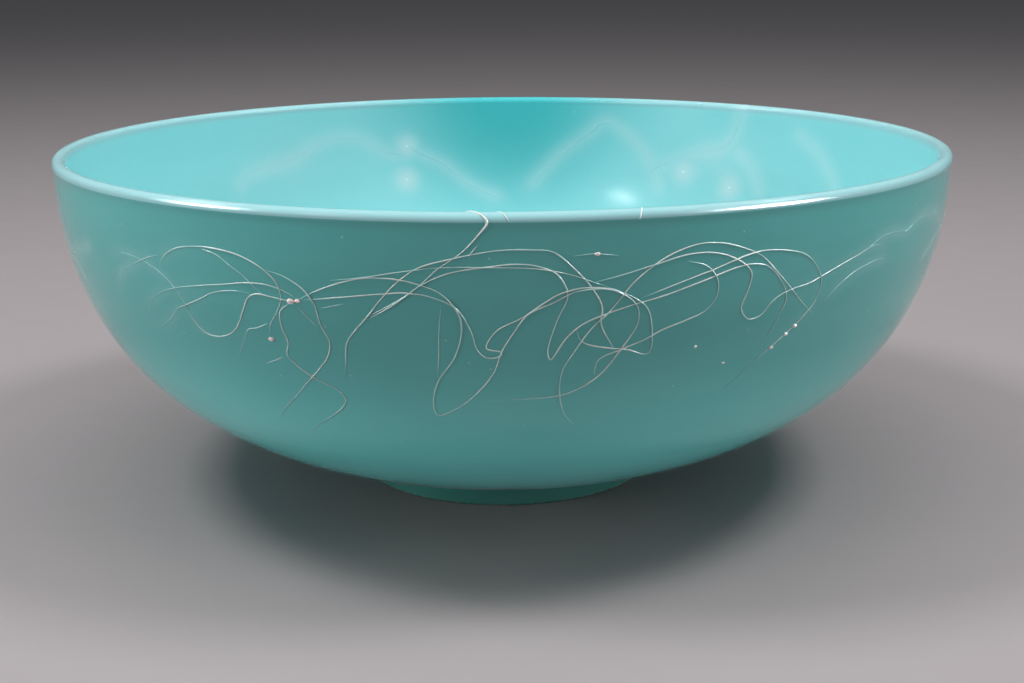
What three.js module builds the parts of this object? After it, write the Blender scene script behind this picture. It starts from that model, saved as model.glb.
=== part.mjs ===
// Blown art glass bowl: one opaque turquoise wall with a fire-polished lip, an applied foot ring,
// and hair-fine white glass threads trailed in garlands over the outside, the lip and the inside.
// Units are millimetres, +Z is up, the origin is the middle of the foot, on the surface it rests on.
// Angles go round the axis in degrees: 0 is the front (-Y), 90 is the right (+X).
import * as THREE from "three";

// Driving dimensions
const HEIGHT = 97;
const LIP_RADIUS = 125.6;
const LIP_ROUND = 1.85; // radius of the rounded lip, half the wall there
const LIP_OVERHANG = 0.25; // how far the melted lip stands proud of the wall
const WALL_FULLNESS = 60; // length of the upright handle of the wall's curve
const FLOOR_FULLNESS = 82.5; // radius where the floor's level handle ends
const WALL_TAPER = 1; // how much shorter the handles of the inner face are
const FLOOR_TAPER = 3.5;
const UNDERSIDE_CLEARANCE = 4.2; // height of the underside at the axis
const FLOOR_THICKNESS = 5.8;
const FOOT_RADIUS = 44;
const FOOT_WIDTH = 7;
const FOOT_BEVEL = 0.8;
const GAP = 0.3; // clearance between pieces that touch

// Finish of the facets
const ROUND_STEPS = 64; // facets round the axis
const WALL_STEPS = 13; // facets down each side of the wall
const LIP_STEPS = 6;
const FOOT_TOP_STEPS = 3;
const BEAD_STEPS = 8; // facets round a bead
const BEAD_LAYERS = 5;
const HALVINGS = 40; // rounds of halving when a place on a curve is looked up
const THREAD_STEP = 9; // longest straight stretch of thread
const THREAD_BEND = Math.PI / 9; // most that a thread turns between two stretches
const LIFT_STEP = 1; // spacing of the points that are tested for crossings, and of the path over the lip
const EASE_STEPS = 2; // tested points on each side of a crossing that are lifted too
const FACET_ALLOWANCE = 0.25; // the inner wall's flat facets stand in from its true curve
const MAIN_THREAD = 0.2; // thread radius
const FINE_THREAD = 0.14;

const LIP_LINE = HEIGHT - LIP_ROUND; // height of the lip's widest circle
const WALL_TOP_RADIUS = LIP_RADIUS - LIP_OVERHANG;
const INNER_TOP_RADIUS = LIP_RADIUS - 2 * LIP_ROUND;
const LIP_ARC = Math.PI * LIP_ROUND; // way over the lip from the outside to the inside
const THREAD_CLEARANCE = 2 * MAIN_THREAD + GAP; // between the middles of two crossing threads
const NEAR = 2 * THREAD_CLEARANCE; // threads nearer than this are laid over one another
const OWN_STRETCH = 6; // tested points of one thread nearer than this along it never cross

const glass = (color, roughness) => new THREE.MeshStandardMaterial({ color, roughness, metalness: 0 });
const object = new THREE.Group();

function addPiece(name, geometry, material) {
  const mesh = new THREE.Mesh(geometry, material);
  mesh.name = name;
  object.add(mesh);
}

// The wall's two faces in section, as [radius, height] curves from the lip line to the axis.
function wallCurve(topRadius, fullness, floorFullness, floorHeight) {
  return new THREE.CubicBezierCurve(
    new THREE.Vector2(topRadius, LIP_LINE),
    new THREE.Vector2(topRadius, LIP_LINE - fullness),
    new THREE.Vector2(floorFullness, floorHeight),
    new THREE.Vector2(0, floorHeight),
  );
}
const outerCurve = wallCurve(WALL_TOP_RADIUS, WALL_FULLNESS, FLOOR_FULLNESS, UNDERSIDE_CLEARANCE);
const innerCurve = wallCurve(
  INNER_TOP_RADIUS,
  WALL_FULLNESS - WALL_TAPER,
  FLOOR_FULLNESS - FLOOR_TAPER,
  UNDERSIDE_CLEARANCE + FLOOR_THICKNESS,
);

// Share of a curve up to which a test of its points holds, found by halving.
function shareWhile(curve, test) {
  let low = 0;
  let high = 1;
  for (let i = 0; i < HALVINGS; i += 1) {
    const middle = (low + high) / 2;
    if (test(curve.getPoint(middle))) low = middle;
    else high = middle;
  }
  return low;
}

// Section point and outward normal of a curve at a height.
function sectionAt(curve, height) {
  const share = shareWhile(curve, (point) => point.y > height);
  const point = curve.getPoint(share);
  const tangent = curve.getTangent(share);
  return { radius: point.x, height: point.y, normal: new THREE.Vector2(-tangent.y, tangent.x) };
}

// Height of the body's underside at a radius.
function undersideAt(radius) {
  const share = shareWhile(outerCurve, (point) => point.x > radius);
  return outerCurve.getPoint(share).y;
}

// bowl_wall: the blown body, a closed section spun round the axis.
function bowlWall() {
  const profile = [];
  for (let i = 0; i <= WALL_STEPS; i += 1) profile.push(outerCurve.getPointAt(1 - i / WALL_STEPS));
  for (let i = 0; i <= LIP_STEPS; i += 1) {
    const turn = (Math.PI * i) / LIP_STEPS;
    profile.push(
      new THREE.Vector2(
        LIP_RADIUS - LIP_ROUND + LIP_ROUND * Math.cos(turn),
        LIP_LINE + LIP_OVERHANG + (LIP_ROUND - LIP_OVERHANG) * Math.sin(turn),
      ),
    );
  }
  for (let i = 1; i <= WALL_STEPS; i += 1) profile.push(innerCurve.getPointAt(i / WALL_STEPS));
  profile[0].x = 0;
  profile[profile.length - 1].x = 0;
  const geometry = new THREE.LatheGeometry(profile, ROUND_STEPS);
  geometry.rotateX(Math.PI / 2);
  return geometry;
}

// foot_ring: a collar of the same glass, flat below and shaped to the underside above.
function footRing() {
  const inside = FOOT_RADIUS - FOOT_WIDTH;
  const profile = [
    new THREE.Vector2(inside, FOOT_BEVEL),
    new THREE.Vector2(inside + FOOT_BEVEL, 0),
    new THREE.Vector2(FOOT_RADIUS - FOOT_BEVEL, 0),
    new THREE.Vector2(FOOT_RADIUS, FOOT_BEVEL),
  ];
  for (let i = 0; i <= FOOT_TOP_STEPS; i += 1) {
    const radius = FOOT_RADIUS - (FOOT_WIDTH * i) / FOOT_TOP_STEPS;
    profile.push(new THREE.Vector2(radius, undersideAt(radius) - 2 * GAP));
  }
  profile.push(profile[0].clone());
  const geometry = new THREE.LatheGeometry(profile, ROUND_STEPS);
  geometry.rotateX(Math.PI / 2);
  return geometry;
}

// A place on the glass. drop is the way down the outside from the lip line; below 0 it goes over
// the lip, and past the lip's half round it goes down the inside. lift stands the point off the face.
function onGlass(degrees, drop, lift) {
  const angle = THREE.MathUtils.degToRad(degrees);
  let radius;
  let height;
  if (drop >= 0) {
    const section = sectionAt(outerCurve, LIP_LINE - drop);
    radius = section.radius + LIP_OVERHANG + section.normal.x * lift;
    height = section.height + section.normal.y * lift;
  } else if (drop > -LIP_ARC) {
    const turn = -drop / LIP_ROUND;
    radius = LIP_RADIUS - LIP_ROUND + (LIP_ROUND + lift) * Math.cos(turn);
    height = LIP_LINE + (LIP_ROUND + lift) * Math.sin(turn);
  } else {
    const section = sectionAt(innerCurve, LIP_LINE + drop + LIP_ARC);
    const inward = lift + FACET_ALLOWANCE;
    radius = section.radius - section.normal.x * inward;
    height = section.height - section.normal.y * inward;
  }
  return new THREE.Vector3(radius * Math.sin(angle), -radius * Math.cos(angle), height);
}

// Threads laid one after another: each rides over the ones it crosses.
const laid = [];

function routeCurve(route) {
  const arc = (degrees) => THREE.MathUtils.degToRad(degrees) * LIP_RADIUS;
  return new THREE.CatmullRomCurve3(route.map(([degrees, drop]) => new THREE.Vector3(arc(degrees), drop, 0)));
}

function pointOnRoute(curve, share, lift) {
  const flat = curve.getPointAt(share);
  return onGlass(THREE.MathUtils.radToDeg(flat.x / LIP_RADIUS), flat.y, lift);
}

// How far each tested point of a thread stands off the glass, with its neighbours lifted too.
function liftsAlong(curve, radius) {
  const rest = radius + GAP;
  const count = Math.max(4, Math.ceil(curve.getLength() / LIFT_STEP));
  const points = Array.from({ length: count + 1 }, (_, i) => pointOnRoute(curve, i / count, 0));
  const needed = [];
  points.forEach((point, i) => {
    let lift = rest;
    for (const other of laid) {
      if (other.point.distanceTo(point) < NEAR) lift = Math.max(lift, other.lift + THREAD_CLEARANCE);
    }
    for (let j = 0; j < i - OWN_STRETCH; j += 1) {
      if (points[j].distanceTo(point) < NEAR) lift = Math.max(lift, needed[j] + THREAD_CLEARANCE);
    }
    needed.push(lift);
  });
  const around = (i) => needed.slice(Math.max(0, i - EASE_STEPS), i + EASE_STEPS + 1);
  const eased = needed.map((_, i) => Math.max(...around(i)));
  points.forEach((point, i) => laid.push({ point, lift: eased[i] }));
  return eased;
}

// A path that is cut exactly at its own points, however they are spaced.
class ThreadPath extends THREE.CatmullRomCurve3 {
  getPointAt(share, target) {
    return this.getPoint(share, target);
  }

  getTangentAt(share, target) {
    return this.getTangent(share, target);
  }
}

// Tested points where the path has a point of its own: at bends, where the lift changes, and over the lip.
function pathShares(curve, lifts) {
  const count = lifts.length - 1;
  const shares = [0];
  let last = 0;
  for (let i = 1; i < count; i += 1) {
    const drop = curve.getPointAt(i / count).y;
    const overLip = drop < LIP_ROUND && drop > -LIP_ARC - LIP_ROUND;
    const bend = curve.getTangentAt(last / count).angleTo(curve.getTangentAt(i / count));
    const stepped = lifts[i] !== lifts[i - 1] || lifts[i] !== lifts[i + 1];
    if (overLip || stepped || bend > THREAD_BEND || (i - last) * LIFT_STEP >= THREAD_STEP) {
      shares.push(i / count);
      last = i;
    }
  }
  shares.push(1);
  return shares;
}

// A four-sided rod swept along the route, as one closed body.
function threadGeometry(route, radius) {
  const curve = routeCurve(route);
  const lifts = liftsAlong(curve, radius);
  const liftAt = (share) => lifts[Math.round(share * (lifts.length - 1))];
  const path = pathShares(curve, lifts).map((share) => pointOnRoute(curve, share, liftAt(share)));
  const section = new THREE.Shape();
  for (let i = 0; i < 4; i += 1) {
    const angle = (Math.PI * i) / 2;
    section[i === 0 ? "moveTo" : "lineTo"](radius * Math.cos(angle), radius * Math.sin(angle));
  }
  section.closePath();
  return new THREE.ExtrudeGeometry(section, { steps: path.length - 1, extrudePath: new ThreadPath(path) });
}

// A bead or speck: a small flattened drop resting on the glass, clear of the threads under it.
function beadGeometry([degrees, drop], size) {
  const spot = onGlass(degrees, drop, 0);
  let lift = GAP + size;
  for (const other of laid) {
    const reach = size + 2 * THREAD_CLEARANCE;
    if (other.point.distanceTo(spot) < reach) lift = Math.max(lift, other.lift + MAIN_THREAD + GAP + size);
  }
  laid.push({ point: spot, lift: lift + size });
  const geometry = new THREE.SphereGeometry(size, BEAD_STEPS, BEAD_LAYERS);
  const centre = onGlass(degrees, drop, lift);
  geometry.translate(centre.x, centre.y, centre.z);
  return geometry;
}

const turquoise = () => glass(0x54a6a6, 0.12);
const threadWhite = () => glass(0xd9d6d2, 0.3);

addPiece("bowl_wall", bowlWall(), turquoise());
addPiece("foot_ring", footRing(), turquoise());

// Thread routes as [degrees round the axis, drop below the lip line].
const MAIN_THREADS = {
  lip_trail: [
    [-15, -34], [-12, -25], [-8, -17], [-6, -10], [-4, -5], [-3, -3.5], [-2, -2], [-1.2, 0],
    [-2, 2.5], [-3, 5], [-4, 7], [-6, 10], [-8, 14], [-9.5, 16.5], [-11.5, 19], [-13.5, 21.5],
  ],
  high_arch: [
    [-17, 38], [-16.5, 33], [-16, 28], [-15, 25], [-13.5, 21.5], [-12, 17.5], [-10, 13], [-8, 10],
    [-5, 8], [-3, 7], [0, 6], [3, 6], [5, 6.5], [7, 10], [9, 15], [10, 19], [10, 23], [11.5, 29],
  ],
  low_arch: [
    [-13.5, 22], [-11.5, 19.5], [-9.5, 16.5], [-8, 14], [-5, 11], [-1, 9.5], [1.5, 9], [3.5, 9.5],
    [5.5, 11.5], [6.5, 16], [5.5, 22], [4.7, 29], [5, 31], [6.5, 26], [8, 23], [10, 21],
    [13, 19], [16, 17.5], [20, 15], [24, 12.5], [26, 12], [28, 13], [30, 17], [31, 21], [30, 28], [29, 33],
  ],
  garland_over: [
    [-20.5, 18.5], [-15.5, 17], [-12, 16], [-9, 15.5], [-6.5, 16.5], [-4.3, 19], [-3, 24], [-2.4, 28.5],
    [-1.5, 30.3], [-0.2, 30], [0, 29], [-1.5, 28], [-0.5, 24], [2, 21], [4, 18], [6, 15.5], [9, 14.5],
    [12, 16], [14.5, 19.5], [15.3, 24], [15.3, 30.7], [13, 29.5], [8.2, 27], [7.5, 24],
  ],
  garland_under: [
    [-20.8, 18.5], [-18.5, 16], [-14.5, 13], [-11.5, 12.4], [-9, 13], [-6, 15.3], [-4.4, 19], [-3.9, 23],
    [-4.7, 30], [-6.7, 36.5], [-7.5, 42.5], [-7.2, 45.7], [-5, 43.7], [-2.8, 39.7], [-0.8, 34], [0, 29],
    [1.2, 24.5], [2.7, 20], [5, 17.8], [7.5, 15.2], [11, 15.3], [13.5, 19], [13.8, 23], [12.2, 29.5],
    [10, 36], [6.8, 40], [2.6, 41], [-2, 41.3],
  ],
  rising_trail: [
    [8.3, 49], [7, 45.8], [6.2, 40], [6.3, 34], [7.5, 29], [9, 24], [11, 19.5], [13, 14], [15.3, 10],
    [17.5, 7.6], [20, 6.3], [22.5, 6.7], [25, 8.3], [27, 10.3], [29, 14], [31, 18], [33.5, 23], [36, 27],
  ],
  hook_trail: [
    [9, 13.5], [12, 12], [15.5, 10], [19, 8.4], [22, 8.8], [24.5, 11], [26, 14], [25.8, 18], [25.3, 22],
    [26.5, 25], [28, 24.5], [29.2, 21.5], [31, 19.5], [34, 18.5], [37.5, 16.2], [41, 14.2], [44.5, 12.6],
    [46.5, 13.5], [48, 16],
  ],
  drop_loop: [
    [18.7, 10], [20.8, 11.5], [22, 14.5], [22.2, 18], [21.2, 21.5], [19, 23.5], [16.5, 25.3],
    [14.5, 27.5], [12, 29.5], [10, 31.7], [9.7, 35.5],
  ],
  knotted_trail: [
    [14, 17.5], [18, 14.6], [22, 12], [25, 10], [27, 9.3], [30, 9.8], [33, 11.7], [35, 15.5], [35.8, 19],
    [35.5, 23], [34, 27], [31.5, 31.5], [28.5, 37], [25.5, 44],
  ],
  bead_drop: [
    [-39, 15], [-38, 12.5], [-36, 10], [-33, 8.7], [-30, 8.6], [-27, 9.6], [-24.5, 12], [-23, 15],
    [-22.7, 18.5], [-23.5, 22], [-24.5, 25], [-24.8, 27.8],
  ],
  bead_arm: [
    [-24.2, 12.2], [-22, 13.4], [-20, 16], [-19, 19], [-18.6, 24], [-17.9, 28], [-18.4, 31.5],
    [-20, 35.5], [-22, 39.5], [-24, 43.5], [-26.5, 48], [-28.5, 52.5],
  ],
  long_hook: [
    [-49.5, 14.5], [-46, 13.6], [-42.5, 14], [-39.5, 15.8], [-37.5, 18.5], [-36.2, 22], [-35.3, 26.5],
    [-34, 29.5], [-32, 30], [-30, 28.5], [-28.7, 26], [-27.7, 22.5], [-26.6, 18.9], [-25.5, 18],
    [-24, 18.3], [-21.6, 18.9],
  ],
  bead_tail: [
    [-21.8, 19.5], [-23, 21.5], [-23.2, 25], [-22.8, 29], [-23.3, 32.3], [-22.3, 35], [-20.3, 38],
    [-18.4, 40], [-17.6, 42.5], [-18.4, 45.3], [-20.5, 48.5], [-23.2, 52.5], [-25.2, 55.5],
  ],
};
const FINE_THREADS = {
  fine_arch: [
    [-17, 13.5], [-13, 12.2], [-10, 11], [-6, 9.8], [0, 9.7], [4, 10.2], [7, 11.7], [9.8, 14], [11.5, 15.3],
  ],
  right_veil: [[37, 24], [38.5, 21], [41, 18.2], [44, 16.8], [46, 16.5], [48, 17.5]],
  right_tress: [[43, 13], [45.5, 11], [48, 10.7], [51, 11.2], [54, 10.5]],
  side_branch: [[-32, 9], [-30, 10], [-28.5, 12], [-27, 14], [-26, 16], [-25, 17.7]],
  left_bow: [
    [-43.5, 30], [-43, 27], [-41.8, 24], [-40, 21.8], [-37.5, 19.8], [-34, 18.2], [-30, 16.8], [-26.5, 15.6],
    [-24, 15.7], [-22, 16.9], [-20.9, 18.3],
  ],
  left_swag: [
    [-43.5, 32], [-41, 30], [-39, 27.5], [-37.5, 24.8], [-35.5, 23], [-33.5, 21.2], [-31.5, 19.2], [-29, 18],
    [-26.5, 18],
  ],
  far_left_rise: [[-49, 25], [-48, 21.5], [-46, 18], [-44, 16], [-41, 13.5], [-38.5, 12]],
  bead_link: [[-21, 20], [-19.6, 23], [-18.9, 25]],
  left_squiggle: [[-30, 34.5], [-29, 31.5], [-28.2, 29], [-27.6, 27], [-26.4, 26.3], [-24.8, 24.8]],
  fine_drop: [[-5.8, 18], [-6.2, 24], [-6.4, 30], [-6.7, 35.5]],
  chip_left: [[-23.9, 33], [-25, 34], [-26.5, 35.3]],
  chip_mid: [[-18.3, 20], [-17, 19.3], [-15.7, 18.6]],
  lip_fork: [[-3, 7.2], [-2.6, 6], [-2.1, 4.8]],
  lip_crossing_middle: [[-0.4, -3.6], [0.3, -2], [0.8, -0.2]],
  lip_crossing_right: [[14, -3.8], [13.8, -2.4], [13.4, 0.2]],
  whisker_right: [[7, 7.5], [9, 7.2], [11.5, 7.8]],
};
// Threads round the back, in the same swags and loops.
const BACK_THREADS = {
  back_swag_right: [
    [50, 12], [56, 9], [62, 11], [67, 17], [70, 25], [74, 31], [79, 30], [82, 23], [85, 15], [91, 10],
    [98, 9], [104, 13], [108, 20], [110, 28],
  ],
  back_loop_right: [
    [58, 22], [64, 17], [71, 14], [79, 13], [88, 16], [94, 22], [96, 29], [92, 35], [87, 36], [86, 30],
    [90, 24], [98, 19], [107, 17], [116, 19],
  ],
  back_swag_middle: [
    [101, 24], [108, 16], [116, 10], [125, 8], [134, 11], [140, 18], [143, 27], [147, 35], [153, 38],
    [158, 33], [160, 25], [164, 17], [171, 12], [179, 11],
  ],
  back_loop_middle: [
    [128, 33], [131, 25], [137, 18], [146, 14], [156, 14], [165, 18], [171, 25], [173, 33], [169, 40],
    [163, 42], [161, 36], [166, 29], [175, 24], [186, 22], [196, 24],
  ],
  back_swag_left: [
    [168, 9], [176, 14], [183, 13], [191, 9], [200, 8], [208, 12], [213, 20], [215, 29], [219, 36],
    [225, 36], [229, 29], [233, 20], [240, 13], [248, 11],
  ],
  back_loop_left: [
    [187, 36], [190, 28], [196, 20], [204, 16], [214, 15], [223, 19], [229, 25], [238, 27], [246, 22],
    [253, 16], [261, 14], [268, 18], [271, 26], [268, 33],
  ],
  back_trail_left: [
    [236, 38], [241, 32], [247, 28], [255, 27], [262, 22], [269, 14], [277, 10], [285, 10], [292, 14],
    [297, 21], [301, 27],
  ],
  back_rise: [[243, 8], [251, 7], [259, 10], [266, 8], [275, 15], [283, 20], [292, 22], [300, 18], [307, 14]],
};
// Threads on the inside: drops below the lip's half round are measured down the inner face.
const INNER_THREADS = {
  inner_arch_left: [
    [231, -32], [229, -27], [225, -25], [219, -23], [215, -19], [210, -16.5], [206, -17.5],
    [202, -22], [197, -25],
  ],
  inner_slope_left: [[199, -16], [196.5, -22], [191, -28], [187.5, -34], [184, -38], [180, -41]],
  inner_peak: [
    [176, -38], [172.5, -30], [169.5, -24], [165, -17], [162, -12.5], [158.5, -16], [155, -22.5],
    [152, -31], [151, -38],
  ],
  inner_rise_right: [
    [153, -29], [149, -25.5], [145, -22], [140, -19.5], [137.8, -14], [137, -8], [136.5, -3], [136, 0.5],
  ],
  inner_fall_right: [[138, -19], [135, -23], [133, -27.5], [130.5, -35]],
  inner_far_right: [[126, -11], [123, -14], [119.5, -18], [116, -24], [113, -31]],
  inner_front_bow: [
    [-58, -20], [-48, -14], [-38, -17], [-30, -26], [-22, -33], [-13, -30], [-4, -22], [8, -17],
    [20, -21], [30, -30],
  ],
};
const BEADS = {
  bead_main: { at: [-21.6, 18.9], size: 0.75 },
  bead_main_small: { at: [-20.5, 18.5], size: 0.6 },
  bead_drop_end: { at: [-24.8, 28.6], size: 0.6 },
  bead_right: { at: [9.3, 7.2], size: 0.5 },
  knot_upper: { at: [33.2, 28.6], size: 0.55 },
  knot_middle: { at: [32.2, 30.4], size: 0.5 },
  knot_lower: { at: [30.6, 33.2], size: 0.5 },
  inner_knot_left: { at: [198, -33], size: 1.3 },
  inner_knot_upper: { at: [197.5, -21], size: 1.2 },
  inner_knot_right: { at: [147, -29], size: 1.3 },
  inner_knot_lower: { at: [137.5, -33], size: 1.1 },
  speck_dash: { at: [20.6, 30.2], size: 0.45 },
  speck_low: { at: [24.6, 35.4], size: 0.4 },
};

function addThreads(routes, radius) {
  for (const [name, route] of Object.entries(routes)) {
    addPiece(name, threadGeometry(route, radius), threadWhite());
  }
}

addThreads(MAIN_THREADS, MAIN_THREAD);
addThreads(FINE_THREADS, FINE_THREAD);
addThreads(BACK_THREADS, MAIN_THREAD);
addThreads(INNER_THREADS, MAIN_THREAD);
for (const [name, { at, size }] of Object.entries(BEADS)) {
  addPiece(name, beadGeometry(at, size), threadWhite());
}

export default object;
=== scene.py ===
"""A blown art glass bowl: turquoise opaline wall, foot ring, trailed white glass threads and drops."""
import logging
import math
import random
from dataclasses import dataclass, field
from enum import Enum

import bpy
from mathutils import Matrix, Quaternion, Vector
from mathutils.kdtree import KDTree


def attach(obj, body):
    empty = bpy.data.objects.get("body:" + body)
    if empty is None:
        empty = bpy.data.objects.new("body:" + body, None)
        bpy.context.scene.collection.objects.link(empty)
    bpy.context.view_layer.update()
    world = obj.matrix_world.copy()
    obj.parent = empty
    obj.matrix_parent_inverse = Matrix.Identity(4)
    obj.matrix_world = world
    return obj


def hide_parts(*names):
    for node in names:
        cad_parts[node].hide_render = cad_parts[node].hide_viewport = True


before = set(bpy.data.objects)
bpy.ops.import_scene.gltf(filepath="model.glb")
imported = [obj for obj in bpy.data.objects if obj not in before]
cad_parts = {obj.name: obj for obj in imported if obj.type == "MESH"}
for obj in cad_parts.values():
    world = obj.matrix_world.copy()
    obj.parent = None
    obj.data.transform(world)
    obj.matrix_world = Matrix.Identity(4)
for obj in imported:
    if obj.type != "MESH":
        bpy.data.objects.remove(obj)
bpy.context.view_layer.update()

log = logging.getLogger("glass_bowl")

MM = 0.001
BODY = "root"

Route = list[tuple[float, float]]
Colour = tuple[float, float, float, float]
Piece = bpy.types.Object
Socket = bpy.types.NodeSocket
Given = bpy.types.NodeOutputs
Inputs = dict[str | int, object]
Results = dict[str, Socket]

# Thread routes as (degrees round the axis, millimetres of drop below the lip line). 0 degrees is the
# front and 90 the right. Below 0 a drop goes over the lip, and past its half round down the inside.
MAIN_THREADS: dict[str, Route] = {
    "lip_trail": [
        (-15, -34), (-12, -25), (-8, -17), (-6, -10), (-4, -5), (-3, -3.5), (-2, -2), (-1.2, 0), (-2, 2.5),
        (-3, 5), (-4, 7), (-6, 10), (-8, 14), (-9.5, 16.5), (-11.5, 19), (-13.5, 21.5),
    ],
    "high_arch": [
        (-17, 38), (-16.5, 33), (-16, 28), (-15, 25), (-13.5, 21.5), (-12, 17.5), (-10, 13), (-8, 10),
        (-5, 8), (-3, 7), (0, 6), (3, 6), (5, 6.5), (7, 10), (9, 15), (10, 19), (10, 23), (11.5, 29),
    ],
    "low_arch": [
        (-13.5, 22), (-11.5, 19.5), (-9.5, 16.5), (-8, 14), (-5, 11), (-1, 9.5), (1.5, 9), (3.5, 9.5),
        (5.5, 11.5), (6.5, 16), (5.5, 22), (4.7, 29), (5, 31), (6.5, 26), (8, 23), (10, 21), (13, 19),
        (16, 17.5), (20, 15), (24, 12.5), (26, 12), (28, 13), (30, 17), (31, 21), (30, 28), (29, 33),
    ],
    "garland_over": [
        (-20.5, 18.5), (-15.5, 17), (-12, 16), (-9, 15.5), (-6.5, 16.5), (-4.3, 19), (-3, 24), (-2.4, 28.5),
        (-1.5, 30.3), (-0.2, 30), (0, 29), (-1.5, 28), (-0.5, 24), (2, 21), (4, 18), (6, 15.5), (9, 14.5),
        (12, 16), (14.5, 19.5), (15.3, 24), (15.3, 30.7), (13, 29.5), (8.2, 27), (7.5, 24),
    ],
    "garland_under": [
        (-20.8, 18.5), (-18.5, 16), (-14.5, 13), (-11.5, 12.4), (-9, 13), (-6, 15.3), (-4.4, 19),
        (-3.9, 23), (-4.7, 30), (-6.7, 36.5), (-7.5, 42.5), (-7.2, 45.7), (-5, 43.7), (-2.8, 39.7),
        (-0.8, 34), (0, 29), (1.2, 24.5), (2.7, 20), (5, 17.8), (7.5, 15.2), (11, 15.3), (13.5, 19),
        (13.8, 23), (12.2, 29.5), (10, 36), (6.8, 40), (2.6, 41), (-2, 41.3),
    ],
    "rising_trail": [
        (8.3, 49), (7, 45.8), (6.2, 40), (6.3, 34), (7.5, 29), (9, 24), (11, 19.5), (13, 14), (15.3, 10),
        (17.5, 7.6), (20, 6.3), (22.5, 6.7), (25, 8.3), (27, 10.3), (29, 14), (31, 18), (33.5, 23),
        (36, 27),
    ],
    "hook_trail": [
        (9, 13.5), (12, 12), (15.5, 10), (19, 8.4), (22, 8.8), (24.5, 11), (26, 14), (25.8, 18), (25.3, 22),
        (26.5, 25), (28, 24.5), (29.2, 21.5), (31, 19.5), (34, 18.5), (37.5, 16.2), (41, 14.2),
        (44.5, 12.6), (46.5, 13.5), (48, 16),
    ],
    "drop_loop": [
        (18.7, 10), (20.8, 11.5), (22, 14.5), (22.2, 18), (21.2, 21.5), (19, 23.5), (16.5, 25.3),
        (14.5, 27.5), (12, 29.5), (10, 31.7), (9.7, 35.5),
    ],
    "knotted_trail": [
        (14, 17.5), (18, 14.6), (22, 12), (25, 10), (27, 9.3), (30, 9.8), (33, 11.7), (35, 15.5),
        (35.8, 19), (35.5, 23), (34, 27), (31.5, 31.5), (28.5, 37), (25.5, 44),
    ],
    "bead_drop": [
        (-39, 15), (-38, 12.5), (-36, 10), (-33, 8.7), (-30, 8.6), (-27, 9.6), (-24.5, 12), (-23, 15),
        (-22.7, 18.5), (-23.5, 22), (-24.5, 25), (-24.8, 27.8),
    ],
    "bead_arm": [
        (-24.2, 12.2), (-22, 13.4), (-20, 16), (-19, 19), (-18.6, 24), (-17.9, 28), (-18.4, 31.5),
        (-20, 35.5), (-22, 39.5), (-24, 43.5), (-26.5, 48), (-28.5, 52.5),
    ],
    "long_hook": [
        (-49.5, 14.5), (-46, 13.6), (-42.5, 14), (-39.5, 15.8), (-37.5, 18.5), (-36.2, 22), (-35.3, 26.5),
        (-34, 29.5), (-32, 30), (-30, 28.5), (-28.7, 26), (-27.7, 22.5), (-26.6, 18.9), (-25.5, 18),
        (-24, 18.3), (-21.6, 18.9),
    ],
    "bead_tail": [
        (-21.8, 19.5), (-23, 21.5), (-23.2, 25), (-22.8, 29), (-23.3, 32.3), (-22.3, 35), (-20.3, 38),
        (-18.4, 40), (-17.6, 42.5), (-18.4, 45.3), (-20.5, 48.5), (-23.2, 52.5), (-25.2, 55.5),
    ],
}
FINE_THREADS: dict[str, Route] = {
    "fine_arch": [
        (-17, 13.5), (-13, 12.2), (-10, 11), (-6, 9.8), (0, 9.7), (4, 10.2), (7, 11.7), (9.8, 14),
        (11.5, 15.3),
    ],
    "right_veil": [(37, 24), (38.5, 21), (41, 18.2), (44, 16.8), (46, 16.5), (48, 17.5)],
    "right_tress": [(43, 13), (45.5, 11), (48, 10.7), (51, 11.2), (54, 10.5)],
    "side_branch": [(-32, 9), (-30, 10), (-28.5, 12), (-27, 14), (-26, 16), (-25, 17.7)],
    "left_bow": [
        (-43.5, 30), (-43, 27), (-41.8, 24), (-40, 21.8), (-37.5, 19.8), (-34, 18.2), (-30, 16.8),
        (-26.5, 15.6), (-24, 15.7), (-22, 16.9), (-20.9, 18.3),
    ],
    "left_swag": [
        (-43.5, 32), (-41, 30), (-39, 27.5), (-37.5, 24.8), (-35.5, 23), (-33.5, 21.2), (-31.5, 19.2),
        (-29, 18), (-26.5, 18),
    ],
    "far_left_rise": [(-49, 25), (-48, 21.5), (-46, 18), (-44, 16), (-41, 13.5), (-38.5, 12)],
    "bead_link": [(-21, 20), (-19.6, 23), (-18.9, 25)],
    "left_squiggle": [(-30, 34.5), (-29, 31.5), (-28.2, 29), (-27.6, 27), (-26.4, 26.3), (-24.8, 24.8)],
    "fine_drop": [(-5.8, 18), (-6.2, 24), (-6.4, 30), (-6.7, 35.5)],
    "chip_left": [(-23.9, 33), (-25, 34), (-26.5, 35.3)],
    "chip_mid": [(-18.3, 20), (-17, 19.3), (-15.7, 18.6)],
    "lip_fork": [(-3, 7.2), (-2.6, 6), (-2.1, 4.8)],
    "lip_crossing_middle": [(-0.4, -3.6), (0.3, -2), (0.8, -0.2)],
    "lip_crossing_right": [(14, -3.8), (13.8, -2.4), (13.4, 0.2)],
    "whisker_right": [(7, 7.5), (9, 7.2), (11.5, 7.8)],
}
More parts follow.
